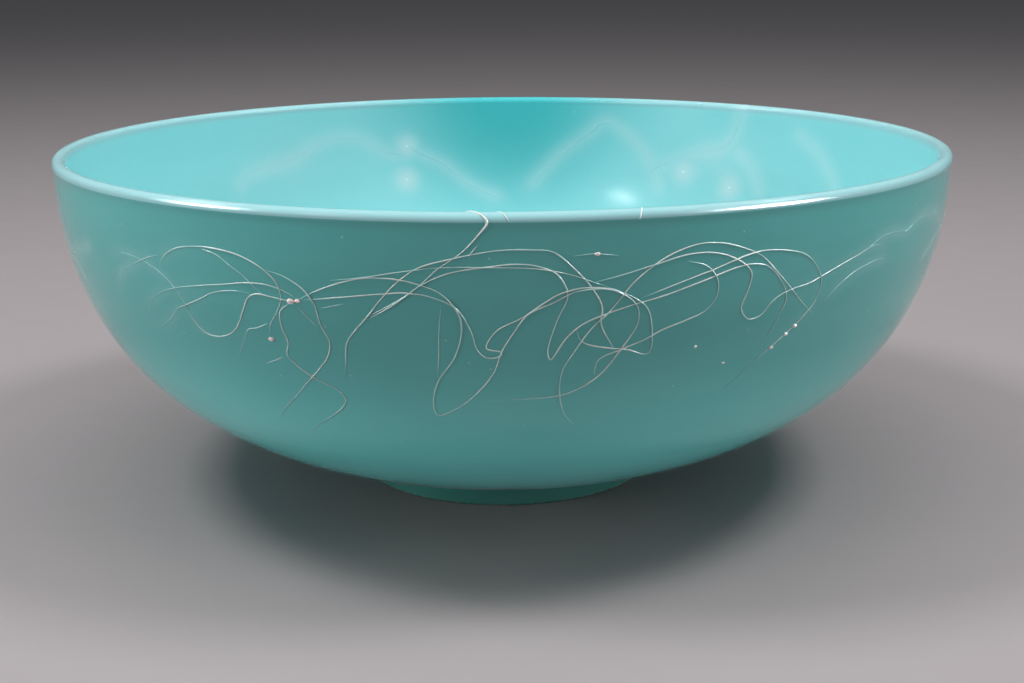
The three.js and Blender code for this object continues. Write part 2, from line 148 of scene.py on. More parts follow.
BACK_THREADS: dict[str, Route] = {
    "back_swag_right": [
        (50, 12), (56, 9), (62, 11), (67, 17), (70, 25), (74, 31), (79, 30), (82, 23), (85, 15), (91, 10),
        (98, 9), (104, 13), (108, 20), (110, 28),
    ],
    "back_loop_right": [
        (58, 22), (64, 17), (71, 14), (79, 13), (88, 16), (94, 22), (96, 29), (92, 35), (87, 36), (86, 30),
        (90, 24), (98, 19), (107, 17), (116, 19),
    ],
    "back_swag_middle": [
        (101, 24), (108, 16), (116, 10), (125, 8), (134, 11), (140, 18), (143, 27), (147, 35), (153, 38),
        (158, 33), (160, 25), (164, 17), (171, 12), (179, 11),
    ],
    "back_loop_middle": [
        (128, 33), (131, 25), (137, 18), (146, 14), (156, 14), (165, 18), (171, 25), (173, 33), (169, 40),
        (163, 42), (161, 36), (166, 29), (175, 24), (186, 22), (196, 24),
    ],
    "back_swag_left": [
        (168, 9), (176, 14), (183, 13), (191, 9), (200, 8), (208, 12), (213, 20), (215, 29), (219, 36),
        (225, 36), (229, 29), (233, 20), (240, 13), (248, 11),
    ],
    "back_loop_left": [
        (187, 36), (190, 28), (196, 20), (204, 16), (214, 15), (223, 19), (229, 25), (238, 27), (246, 22),
        (253, 16), (261, 14), (268, 18), (271, 26), (268, 33),
    ],
    "back_trail_left": [
        (236, 38), (241, 32), (247, 28), (255, 27), (262, 22), (269, 14), (277, 10), (285, 10), (292, 14),
        (297, 21), (301, 27),
    ],
    "back_rise": [
        (243, 8), (251, 7), (259, 10), (266, 8), (275, 15), (283, 20), (292, 22), (300, 18), (307, 14),
    ],
}
INNER_THREADS: dict[str, Route] = {
    "inner_arch_left": [
        (231, -32), (229, -27), (225, -25), (219, -23), (215, -19), (210, -16.5), (206, -17.5), (202, -22),
        (197, -25),
    ],
    "inner_slope_left": [(199, -16), (196.5, -22), (191, -28), (187.5, -34), (184, -38), (180, -41)],
    "inner_peak": [
        (176, -38), (172.5, -30), (169.5, -24), (165, -17), (162, -12.5), (158.5, -16), (155, -22.5),
        (152, -31), (151, -38),
    ],
    "inner_rise_right": [
        (153, -29), (149, -25.5), (145, -22), (140, -19.5), (137.8, -14), (137, -8), (136.5, -3),
        (136, 0.5),
    ],
    "inner_fall_right": [(138, -19), (135, -23), (133, -27.5), (130.5, -35)],
    "inner_far_right": [(126, -11), (123, -14), (119.5, -18), (116, -24), (113, -31)],
    "inner_front_bow": [
        (-58, -20), (-48, -14), (-38, -17), (-30, -26), (-22, -33), (-13, -30), (-4, -22), (8, -17),
        (20, -21), (30, -30),
    ],
}
# Drops as (degrees round the axis, millimetres of drop, radius in millimetres).
BEADS: dict[str, tuple[float, float, float]] = {
    "bead_main": (-21.6, 18.9, 0.75),
    "bead_main_small": (-20.8, 18.7, 0.55),
    "bead_drop_end": (-24.8, 28.6, 0.6),
    "bead_right": (9.3, 7.2, 0.5),
    "knot_upper": (33.2, 28.6, 0.55),
    "knot_middle": (32.2, 30.4, 0.5),
    "knot_lower": (30.6, 33.2, 0.5),
    "inner_knot_left": (198, -33, 1.3),
    "inner_knot_upper": (197.5, -21, 1.2),
    "inner_knot_right": (147, -29, 1.3),
    "inner_knot_lower": (137.5, -33, 1.1),
    "speck_dash": (20.6, 30.2, 0.38),
    "speck_low": (24.6, 35.4, 0.3),
}
# Length in millimetres over which a thread's first and last end thin out and melt into the glass.
TAILS: dict[str, tuple[float, float]] = {
    "lip_trail": (1, 3), "lip_fork": (0.4, 0.8), "lip_crossing_middle": (0.8, 0.5),
    "lip_crossing_right": (0.8, 0.5), "side_branch": (1, 3), "bead_link": (0.5, 2),
    "left_squiggle": (3, 1), "chip_left": (0.6, 2), "high_arch": (9, 5), "low_arch": (4, 11),
    "garland_over": (6, 6), "garland_under": (6, 20), "rising_trail": (9, 10), "hook_trail": (5, 9),
    "drop_loop": (7, 10), "knotted_trail": (8, 16), "bead_arm": (6, 22), "bead_tail": (2, 18),
    "long_hook": (12, 2), "left_bow": (10, 3), "left_swag": (10, 6), "far_left_rise": (9, 6),
    "fine_arch": (8, 8),
}
USUAL_TAILS = (4.0, 4.0)


class Slot(str, Enum):
    """The record's material slots."""

    WALL = "turquoise_glass"
    FOOT = "foot_glass"
    THREAD = "white_thread_glass"
    BEAD = "white_bead_glass"


class Face(Enum):
    """Which face of the wall a thread mostly lies on."""

    OUTSIDE = "outside"
    INSIDE = "inside"


@dataclass(frozen=True)
class Trail:
    """How a set of threads is laid. Lengths are in metres.

    melted is the share of its white that the glass has swallowed, halo is how strongly its milk has
    bled into the glass round it, and reach is how far. stand is how far its middle stands off the
    glass, as a share of its radius.
    """

    radius: float
    melted: float = 0.0
    halo: float = 0.0
    reach: float = 2.6 * MM
    stand: float = 0.25


@dataclass(frozen=True)
class MilkSpot:
    """A place where milk has bled into a face of the wall."""

    place: Vector
    strength: float
    reach: float
    face: Face


# Shape.


@dataclass(frozen=True)
class BowlSection:
    """The bowl's section and the places on its glass. Lengths are in metres."""

    height: float = 97 * MM
    lip_radius: float = 125.6 * MM
    lip_round: float = 1.85 * MM
    lip_overhang: float = 0.25 * MM
    lip_fade: float = 1.6 * MM
    wall_fullness: float = 60 * MM
    floor_fullness: float = 82.5 * MM
    wall_taper: float = 1 * MM
    floor_taper: float = 3.5 * MM
    underside: float = 4.2 * MM
    floor_thickness: float = 5.8 * MM
    halvings: int = 36
    nudge: float = 1e-4

    @property
    def lip_line(self) -> float:
        """Height of the lip's widest circle."""
        return self.height - self.lip_round

    @property
    def lip_arc(self) -> float:
        """Way over the lip from the outside to the inside."""
        return math.pi * self.lip_round

    def corners(self, face: Face) -> list[tuple[float, float]]:
        """The four control points of a face's curve, from the lip line to the axis.

        Args:
            face: the face of the wall.

        Returns:
            (radius, height) pairs.
        """
        inside = face is Face.INSIDE
        top = self.lip_radius - (2 * self.lip_round if inside else self.lip_overhang)
        full = self.wall_fullness - (self.wall_taper if inside else 0)
        wide = self.floor_fullness - (self.floor_taper if inside else 0)
        low = self.underside + (self.floor_thickness if inside else 0)
        return [(top, self.lip_line), (top, self.lip_line - full), (wide, low), (0, low)]

    def at(self, face: Face, t: float) -> tuple[float, float]:
        """(radius, height) of a face's curve at a share t of its parameter."""
        mix = ((1 - t) ** 3, 3 * (1 - t) * (1 - t) * t, 3 * (1 - t) * t * t, t ** 3)
        return tuple(sum(m * p[i] for m, p in zip(mix, self.corners(face))) for i in (0, 1))

    def share_where(self, face: Face, value: float, axis: int = 1) -> float:
        """Share of a face's curve where it passes a height or a radius, found by halving.

        Args:
            face: the face of the wall.
            value: the height or radius in metres.
            axis: 1 for a height, 0 for a radius.

        Returns:
            The share, from 0 at the lip line to 1 at the axis.
        """
        low, high = 0.0, 1.0
        for _ in range(self.halvings):
            middle = (low + high) / 2
            if self.at(face, middle)[axis] > value:
                low = middle
            else:
                high = middle
        return low

    def proud(self, drop: float) -> float:
        """How far the melted lip still stands proud of the wall at a drop below the lip line."""
        fade = min(max(drop / self.lip_fade, 0), 1)
        return self.lip_overhang * (1 - fade * fade * (3 - 2 * fade))

    def place(self, degrees: float, drop: float, lift: float) -> tuple[Vector, Vector]:
        """A place on the glass.

        Args:
            degrees: angle round the axis.
            drop: way down from the lip line, in metres; negative over the lip and down the inside.
            lift: how far the point stands off the glass, in metres.

        Returns:
            The point and the outward normal of the glass there.
        """
        angle = math.radians(degrees)
        if -self.lip_arc < drop < 0:
            turn = -drop / self.lip_round
            side, up = math.cos(turn), math.sin(turn)
            radius = self.lip_radius - self.lip_round + self.lip_round * side
            height = self.lip_line + self.lip_round * up
        else:
            face = Face.OUTSIDE if drop >= 0 else Face.INSIDE
            deep = drop if drop >= 0 else -drop - self.lip_arc
            t = self.share_where(face, self.lip_line - deep)
            radius, height = self.at(face, t)
            ahead, behind = self.at(face, min(t + self.nudge, 1)), self.at(face, max(t - self.nudge, 0))
            run = Vector((ahead[0] - behind[0], ahead[1] - behind[1])).normalized()
            side, up = (-run.y, run.x) if face is Face.OUTSIDE else (run.y, -run.x)
            radius += self.proud(drop) if face is Face.OUTSIDE else 0
        radius, height = radius + side * lift, height + up * lift
        spread = Vector((math.sin(angle), -math.cos(angle), 0))
        return spread * radius + Vector((0, 0, height)), spread * side + Vector((0, 0, up))


def smooth_route(route: Route, step: float, radius: float) -> Route:
    """Rounds a route into closely spaced places, with a centripetal spline through its own places.

    Args:
        route: (degrees, millimetres) places.
        step: spacing of the new places in millimetres.
        radius: radius in millimetres that turns degrees into a length.

    Returns:
        The new places, in the same units.
    """
    flat = [complex(math.radians(a) * radius, d) for a, d in route]
    flat = [2 * flat[0] - flat[1], *flat, 2 * flat[-1] - flat[-2]]
    places: Route = []
    for i in range(len(flat) - 3):
        p0, p1, p2, p3 = flat[i:i + 4]
        d0, d1, d2 = (math.sqrt(abs(b - a)) or 1.0 for a, b in ((p0, p1), (p1, p2), (p2, p3)))
        leave = d1 * ((p1 - p0) / d0 - (p2 - p0) / (d0 + d1) + (p2 - p1) / d1)
        arrive = d1 * ((p2 - p1) / d1 - (p3 - p1) / (d1 + d2) + (p3 - p2) / d2)
        square, cube = 3 * (p2 - p1) - 2 * leave - arrive, 2 * (p1 - p2) + leave + arrive
        count = max(1, math.ceil(abs(p2 - p1) / step))
        for n in range(count + (i == len(flat) - 4)):
            t = n / count
            spot = p1 + leave * t + square * t * t + cube * t ** 3
            places.append((math.degrees(spot.real / radius), spot.imag))
    return places


# Modelling helpers.


def search_tree(points: list[Vector]) -> KDTree:
    """Sorts points for finding the ones near a place.

    Args:
        points: the points.

    Returns:
        The search tree, which gives a point's index.
    """
    tree = KDTree(len(points))
    for i, point in enumerate(points):
        tree.insert(point, i)
    tree.balance()
    return tree


def deselect_all() -> None:
    """Clears the selection in object mode."""
    bpy.ops.object.select_all(action="DESELECT")


def spun_piece(name: str, profile: list[tuple[float, float]], steps: int, closed: bool) -> Piece:
    """Draws a profile by extruding one vertex from point to point, then spins it round the axis.

    Args:
        name: name of the piece.
        profile: (radius, height) points in metres.
        steps: facets round the axis.
        closed: whether the last point joins the first.

    Returns:
        The piece, with its seams merged and its faces outwards.
    """
    deselect_all()
    bpy.ops.mesh.primitive_plane_add(size=1 * MM, location=(0, 0, 0))
    piece = bpy.context.object
    piece.name = piece.data.name = name
    bpy.ops.object.mode_set(mode="EDIT")
    bpy.ops.mesh.select_all(action="SELECT")
    bpy.ops.mesh.merge(type="CENTER")
    bpy.ops.transform.translate(value=(profile[0][0], 0, profile[0][1]))
    points = [*profile[1:], profile[0]] if closed else profile[1:]
    last = profile[0]
    for point in points:
        move = (point[0] - last[0], 0, point[1] - last[1])
        bpy.ops.mesh.extrude_region_move(TRANSFORM_OT_translate={"value": move})
        last = point
    bpy.ops.mesh.select_all(action="SELECT")
    bpy.ops.mesh.spin(steps=steps, angle=2 * math.pi, center=(0, 0, 0), axis=(0, 0, 1))
    bpy.ops.mesh.select_all(action="SELECT")
    bpy.ops.mesh.remove_doubles(threshold=0.005 * MM)
    bpy.ops.mesh.normals_make_consistent(inside=False)
    bpy.ops.object.mode_set(mode="OBJECT")
    bpy.ops.object.shade_smooth()
    return piece


def settle(piece: Piece, slot: Slot, material: bpy.types.Material, *nodes: str) -> None:
    """Dresses a finished piece and hands it to the frame.

    Args:
        piece: the finished piece.
        slot: the record's material slot it takes its finish from; it is not used.
        material: its material.
        nodes: the CAD nodes it stands for.
    """
    piece.data.materials.clear()
    piece.data.materials.append(material)
    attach(piece, BODY)
    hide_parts(*nodes)
    log.info("%s: %d faces, %s", piece.name, len(piece.data.polygons), material.name)


# Node drawing.


@dataclass
class NodeBoard:
    """Draws nodes in a tree: sockets and plain values go straight into a new node's inputs."""

    tree: bpy.types.NodeTree

    def fill(self, node: bpy.types.Node, inputs: Inputs) -> None:
        """Links sockets to a node's inputs and sets plain values on them.

        Args:
            node: the node.
            inputs: input name, with underscores for spaces, or index to a socket or a value.
        """
        for key, value in inputs.items():
            socket = node.inputs[key.replace("_", " ") if isinstance(key, str) else key]
            if isinstance(value, Socket):
                self.tree.links.new(value, socket)
            else:
                socket.default_value = value

    def put(self, kind: str, inputs: Inputs | None = None, **settings: object) -> bpy.types.Node:
        """Adds a node.

        Args:
            kind: the node's type.
            inputs: what goes into its inputs.
            settings: properties of the node.

        Returns:
            The new node.
        """
        node = self.tree.nodes.new(kind)
        for key, value in settings.items():
            setattr(node, key, value)
        self.fill(node, inputs or {})
        return node

    def place(self) -> Socket:
        """Places in the piece's own coordinates."""
        return self.put("ShaderNodeTexCoord").outputs["Object"]

    def height(self, place: Socket) -> Socket:
        """Height of a place."""
        return self.put("ShaderNodeSeparateXYZ", {0: place}).outputs["Z"]

    def stored(self, name: str) -> Socket:
        """A number stored on the piece's vertices."""
        return self.put("ShaderNodeAttribute", attribute_name=name).outputs["Fac"]

    def noise(self, place: Socket, scale: object, detail: float) -> Socket:
        """A noise's value."""
        return self.put("ShaderNodeTexNoise", {"Vector": place, "Scale": scale, "Detail": detail}).outputs[0]

    def squeezed(self, place: Socket, scale: tuple[float, float, float]) -> Socket:
        """Places scaled by different amounts along the axes."""
        return self.put("ShaderNodeMapping", {"Vector": place, "Scale": scale}).outputs[0]

    def bump(self, height: object, strength: float, distance: float) -> Socket:
        """A normal bumped by a height."""
        inputs = {"Height": height, "Strength": strength, "Distance": distance}
        return self.put("ShaderNodeBump", inputs).outputs[0]

    def math(self, operation: str, a: object, b: object = 0.0, clamp: bool = False) -> Socket:
        """A Math node's result."""
        return self.put("ShaderNodeMath", {0: a, 1: b}, operation=operation, use_clamp=clamp).outputs[0]

    def step(self, value: object, low: object, high: object) -> Socket:
        """0 below low and 1 above high, smooth in between."""
        inputs = {"Value": value, "From Min": low, "From Max": high}
        return self.put("ShaderNodeMapRange", inputs, interpolation_type="SMOOTHSTEP").outputs[0]

    def mix(self, factor: object, a: object, b: object, blend: str = "MIX") -> Socket:
        """A colour mix's result."""
        inputs = {"Factor": factor, 6: a, 7: b}
        return self.put("ShaderNodeMix", inputs, data_type="RGBA", blend_type=blend).outputs[2]

    def group(self, effect: type["SharedEffect"], **inputs: object) -> bpy.types.Node:
        """Adds a shared effect's group node."""
        return self.put("ShaderNodeGroup", inputs, node_tree=effect.tree())


FLOAT, COLOUR = "NodeSocketFloat", "NodeSocketColor"


class SharedEffect:
    """A shader node group that several finishes use, built once."""

    name = ""
    takes: tuple[tuple[str, str], ...] = ()
    gives: tuple[tuple[str, str], ...] = ()

    @classmethod
    def tree(cls) -> bpy.types.NodeTree:
        """Builds the group at its first use.

        Returns:
            The group's tree.
        """
        found = bpy.data.node_groups.get(cls.name)
        if found:
            return found
        tree = bpy.data.node_groups.new(cls.name, "ShaderNodeTree")
        for label, kind in cls.takes:
            tree.interface.new_socket(label, in_out="INPUT", socket_type=kind)
        for label, kind in cls.gives:
            tree.interface.new_socket(label, in_out="OUTPUT", socket_type=kind)
        board = NodeBoard(tree)
        source = board.put("NodeGroupInput")
        board.put("NodeGroupOutput", cls.draw(board, source.outputs))
        return tree

    @classmethod
    def draw(cls, board: NodeBoard, given: Given) -> Results:
        """Draws the effect.

        Args:
            board: where to draw.
            given: the group's inputs.

        Returns:
            The group's outputs by name.
        """
        raise NotImplementedError


class CloudedGlass(SharedEffect):
    """Slow clouds and drawn-out bands of a milkier shade in opaline glass."""

    name = "clouded_glass"
    takes = (("Deep", COLOUR), ("Milky", COLOUR), ("Scale", FLOAT), ("Contrast", FLOAT))
    gives = (("Color", COLOUR), ("Cloud", FLOAT))
    drawn_out = (0.5, 0.5, 5.0)

    @classmethod
    def draw(cls, board: NodeBoard, given: Given) -> Results:
        """Two noises, one stretched round the bowl, mix the two shades.

        Args:
            board: where to draw.
            given: the group's inputs.

        Returns:
            The group's outputs by name.
        """
        place = board.place()
        soft = board.noise(place, given["Scale"], 3.0)
        drawn = board.noise(board.squeezed(place, cls.drawn_out), given["Scale"], 4.0)
        both = board.math("ADD", soft, drawn)
        centred = board.math("SUBTRACT", both, 1.0)
        cloud = board.math("ADD", board.math("MULTIPLY", centred, given["Contrast"]), 0.5, clamp=True)
        return {"Color": board.mix(cloud, given["Deep"], given["Milky"]), "Cloud": cloud}


class SeedsAndSpecks(SharedEffect):
    """Tiny bubbles and specks of dust scattered through a few of many cells."""

    name = "seeds_and_specks"
    takes = (("Scale", FLOAT), ("Size", FLOAT), ("Share", FLOAT))
    gives = (("Mask", FLOAT), ("Height", FLOAT))

    @classmethod
    def draw(cls, board: NodeBoard, given: Given) -> Results:
        """A small round spot in the middle of the cells whose random shade is under the share.

        Args:
            board: where to draw.
            given: the group's inputs.

        Returns:
            The group's outputs by name.
        """
        cells = board.put("ShaderNodeTexVoronoi", {"Vector": board.place(), "Scale": given["Scale"]})
        shade = board.put("ShaderNodeSeparateColor", {0: cells.outputs["Color"]}).outputs[0]
        chosen = board.math("LESS_THAN", shade, given["Share"])
        spot = board.math("SUBTRACT", 1.0, board.step(cells.outputs["Distance"], 0.0, given["Size"]))
        mask = board.math("MULTIPLY", spot, chosen)
        return {"Mask": mask, "Height": board.math("MULTIPLY", mask, 0.5)}


class HandBlownRipple(SharedEffect):
    """The slight unevenness that blowing and turning leave in a glass surface."""

    name = "hand_blown_ripple"
    takes = (("Swell", FLOAT), ("Turning", FLOAT))
    gives = (("Height", FLOAT),)
    rings, ring_scale, swell_scale = (0.25, 0.25, 22.0), 16.0, 26.0

    @classmethod
    def draw(cls, board: NodeBoard, given: Given) -> Results:
        """A slow swell plus fine rings from turning on the pipe.

        Args:
            board: where to draw.
            given: the group's inputs.

        Returns:
            The group's outputs by name.
        """
        place = board.place()
        turned = board.noise(board.squeezed(place, cls.rings), cls.ring_scale, 3.0)
        slow = board.math("MULTIPLY", board.noise(place, cls.swell_scale, 2.0), given["Swell"])
        return {"Height": board.math("ADD", slow, board.math("MULTIPLY", turned, given["Turning"]))}


class RestingDust(SharedEffect):
    """Fine dull dust and smears that break up a gloss."""

    name = "resting_dust"
    takes = (("Clean", FLOAT), ("Dull", FLOAT), ("Scale", FLOAT))
    gives = (("Roughness", FLOAT), ("Mask", FLOAT))
    blot_edges = (0.42, 0.72)

    @classmethod
    def draw(cls, board: NodeBoard, given: Given) -> Results:
        """A blotchy noise sets the roughness between clean and dull.

        Args:
            board: where to draw.
            given: the group's inputs.

        Returns:
            The group's outputs by name.
        """
        mask = board.step(board.noise(board.place(), given["Scale"], 6.0), *cls.blot_edges)
        spread = board.math("SUBTRACT", given["Dull"], given["Clean"])
        rough = board.math("ADD", given["Clean"], board.math("MULTIPLY", spread, mask))
        return {"Roughness": rough, "Mask": mask}


# Finishes.


class Finish:
    """A material whose nodes a subclass draws."""

    name: str

    def draw(self, board: NodeBoard) -> Inputs:
        """Draws the finish.

        Args:
            board: where to draw.

        Returns:
            What goes into the Principled shader.
        """
        raise NotImplementedError

    def make(self) -> bpy.types.Material:
        """Builds the material.

        Returns:
            The material.
        """
        material = bpy.data.materials.new(self.name)
        material.use_nodes = True
        board = NodeBoard(material.node_tree)
        board.fill(material.node_tree.nodes["Principled BSDF"], self.draw(board))
        return material


@dataclass(frozen=True)
class TurquoiseOpaline(Finish):
    """Opaque turquoise glass with milky melted halos under the threads, and painted light: lighter copies of
    its colour on the inside and the lip's top, a painted shade inside at the back below the rim, and a
    painted brightening of the outer wall's lower part.
    """

    name: str = "turquoise_opaline"
    deep: Colour = (0.070, 0.330, 0.318, 1)
    milky: Colour = (0.100, 0.400, 0.385, 1)
    # Lighter copies of the glass's colour for the inside. This is painted light for the light falling into
    # the bowl from above; the outer wall keeps the darker colours above.
    lit_inner_deep: Colour = (0.215, 0.540, 0.560, 1)
    lit_inner_milky: Colour = (0.245, 0.580, 0.600, 1)
    # A painted shade: a darker colour on the inside at the back, just below the rim, fading out between the
    # two reaches.
    painted_back_shade: Colour = (0.055, 0.400, 0.420, 1)
    painted_back_shade_place: tuple[float, float, float] = (2 * MM, 123 * MM, 98 * MM)
    painted_back_shade_reach: tuple[float, float] = (8 * MM, 63 * MM)
    # A painted brightening of the outer wall towards its base, standing for light thrown up from the table.
    # It is multiplied in below the lower height and fades out by the upper one.
    painted_bounce: Colour = (2.20, 2.00, 2.00, 1)
    painted_bounce_heights: tuple[float, float] = (14 * MM, 76 * MM)
    # A paler, greyer colour painted on the lip's top. It is painted light and a painted sheen of light
    # reflected from above.
    lip: Colour = (0.255, 0.475, 0.500, 1)
    lip_heights: tuple[float, float] = (93.8 * MM, 95.2 * MM)
    halo: Colour = (0.43, 0.61, 0.63, 1)
    speck: Colour = (0.62, 0.74, 0.74, 1)
    clean: float = 0.07
    dull: float = 0.16
    swell: float = 1.0
    turning: float = 0.12
    halo_strength: float = 0.60
    speck_strength: float = 0.35
    speck_height: float = 0.04
    inner_roughness: float = 0.08

    def draw(self, board: NodeBoard) -> Inputs:
        """Reads the wall's inside and melt attributes.

        Args:
            board: where to draw.

        Returns:
            What goes into the Principled shader.
        """
        glass = board.group(CloudedGlass, Deep=self.deep, Milky=self.milky, Scale=9.0, Contrast=1.6)
        cloud = glass.outputs["Cloud"]
        seeds = board.group(SeedsAndSpecks, Scale=420.0, Size=0.16, Share=0.05)
        dust = board.group(RestingDust, Clean=self.clean, Dull=self.dull, Scale=34.0)
        ripple = board.group(HandBlownRipple, Swell=self.swell, Turning=self.turning)
        inside, place = board.stored("inside"), board.place()
        height = board.height(place)
        away = board.put("ShaderNodeVectorMath", {0: place, 1: self.painted_back_shade_place}, operation="DISTANCE")
        # The inside takes the painted lighter copy of the glass's colour.
        lit_lining = board.mix(cloud, self.lit_inner_deep, self.lit_inner_milky)
        # Painted light and sheen on the lip's top.
        lit_lining = board.mix(board.step(height, *self.lip_heights), lit_lining, self.lip)
        # Painted shade inside at the back below the rim.
        lit_lining = board.mix(board.step(away.outputs["Value"], *self.painted_back_shade_reach), self.painted_back_shade, lit_lining)
        # Painted brightening of the outer wall's lower part.
        bounce_share = board.math("SUBTRACT", 1.0, board.step(height, *self.painted_bounce_heights))
        outer = board.mix(bounce_share, glass.outputs["Color"], self.painted_bounce, "MULTIPLY")
        halo = board.math("MULTIPLY", board.stored("melt"), self.halo_strength)
        colour = board.mix(halo, board.mix(inside, outer, lit_lining), self.halo)
        speck = board.math("MULTIPLY", seeds.outputs["Mask"], self.speck_strength)
        softer = board.math("MULTIPLY", inside, self.inner_roughness)
        risen = board.math("MULTIPLY", seeds.outputs["Height"], self.speck_height)
        relief = board.math("ADD", ripple.outputs["Height"], risen)
        return {
            "Base Color": board.mix(speck, colour, self.speck),
            "Roughness": board.math("ADD", dust.outputs["Roughness"], softer),
            "Normal": board.bump(relief, strength=0.10, distance=1.0 * MM),
            "IOR": 1.5,
        }


@dataclass(frozen=True)
class FootGlass(Finish):
    """The same glass in the foot, in darker colours that paint the shade it stands in, and rougher along the
    edge it stands on, where a pale brown band paints a thin reflection of the table.
    """

    name: str = "foot_opaline"
    # Darker copies of the wall's glass colour: painted shade for the foot standing in the bowl's shadow.
    deep: Colour = (0.034, 0.165, 0.140, 1)
    milky: Colour = (0.056, 0.215, 0.185, 1)
    # A pale brown band along the bottom edge: a painted reflection line of the table.
    painted_rim_reflection: Colour = (0.30, 0.26, 0.21, 1)
    rim_band_height: float = 0.9 * MM
    rim_reflection_strength: float = 0.55
    wear_roughness: float = 0.4
    scuff_scale: float = 700.0
    scuff_edges: tuple[float, float] = (0.40, 0.62)

    def draw(self, board: NodeBoard) -> Inputs:
        """Roughens the glass and paints a reflection line along it, by its height above the table.

        Args:
            board: where to draw.

        Returns:
            What goes into the Principled shader.
        """
        glass = board.group(CloudedGlass, Deep=self.deep, Milky=self.milky, Scale=14.0, Contrast=1.6)
        dust = board.group(RestingDust, Clean=0.10, Dull=0.24, Scale=60.0)
        place = board.place()
        scuff = board.noise(place, self.scuff_scale, 3.0)
        edge = board.math("SUBTRACT", 1.0, board.step(board.height(place), 0.0, self.rim_band_height))
        # Broken band at the bottom edge: rougher, and carrying the painted reflection line.
        wear_and_reflection = board.math("MULTIPLY", edge, board.step(scuff, *self.scuff_edges))
        reflection_share = board.math("MULTIPLY", wear_and_reflection, self.rim_reflection_strength)
        rougher = board.math("MULTIPLY", wear_and_reflection, self.wear_roughness)
        return {
            "Base Color": board.mix(reflection_share, glass.outputs["Color"], self.painted_rim_reflection),
            "Roughness": board.math("ADD", dust.outputs["Roughness"], rougher),
            "Normal": board.bump(scuff, strength=0.08, distance=0.1 * MM),
        }


@dataclass(frozen=True)
class WhiteCane(Finish):
    """White glass of the threads and drops, uneven and tinged, swallowed by the glass in places."""

    name: str
    white: Colour
    tinge: Colour
    glass: Colour
    scale: float
    clean: float = 0.34
    dull: float = 0.52

    def draw(self, board: NodeBoard) -> Inputs:
        """Reads a piece's melted attribute, which is 0 where there is none.

        Args:
            board: where to draw.

        Returns:
            What goes into the Principled shader.
        """
        cane = board.group(CloudedGlass, Deep=self.tinge, Milky=self.white, Scale=self.scale, Contrast=2.4)
        dust = board.group(RestingDust, Clean=self.clean, Dull=self.dull, Scale=900.0)
        return {
            "Base Color": board.mix(board.stored("melted"), cane.outputs["Color"], self.glass),
            "Roughness": dust.outputs["Roughness"],
            "Normal": board.bump(dust.outputs["Mask"], strength=0.2, distance=0.05 * MM),
        }


@dataclass(frozen=True)
class PaleTable(Finish):
    """A plain pale matt tabletop with a barely visible mottle."""

    name: str = "pale_table"
    light: Colour = (0.270, 0.245, 0.250, 1)
    dark: Colour = (0.262, 0.238, 0.243, 1)

    def draw(self, board: NodeBoard) -> Inputs:
        """Clouds the two shades softly.

        Args:
            board: where to draw.

        Returns:
            What goes into the Principled shader.
        """
        mottle = board.group(CloudedGlass, Deep=self.dark, Milky=self.light, Scale=6.0, Contrast=0.8)
        dust = board.group(RestingDust, Clean=0.66, Dull=0.72, Scale=40.0)
        return {"Base Color": mottle.outputs["Color"], "Roughness": dust.outputs["Roughness"]}


# Sub-assemblies.


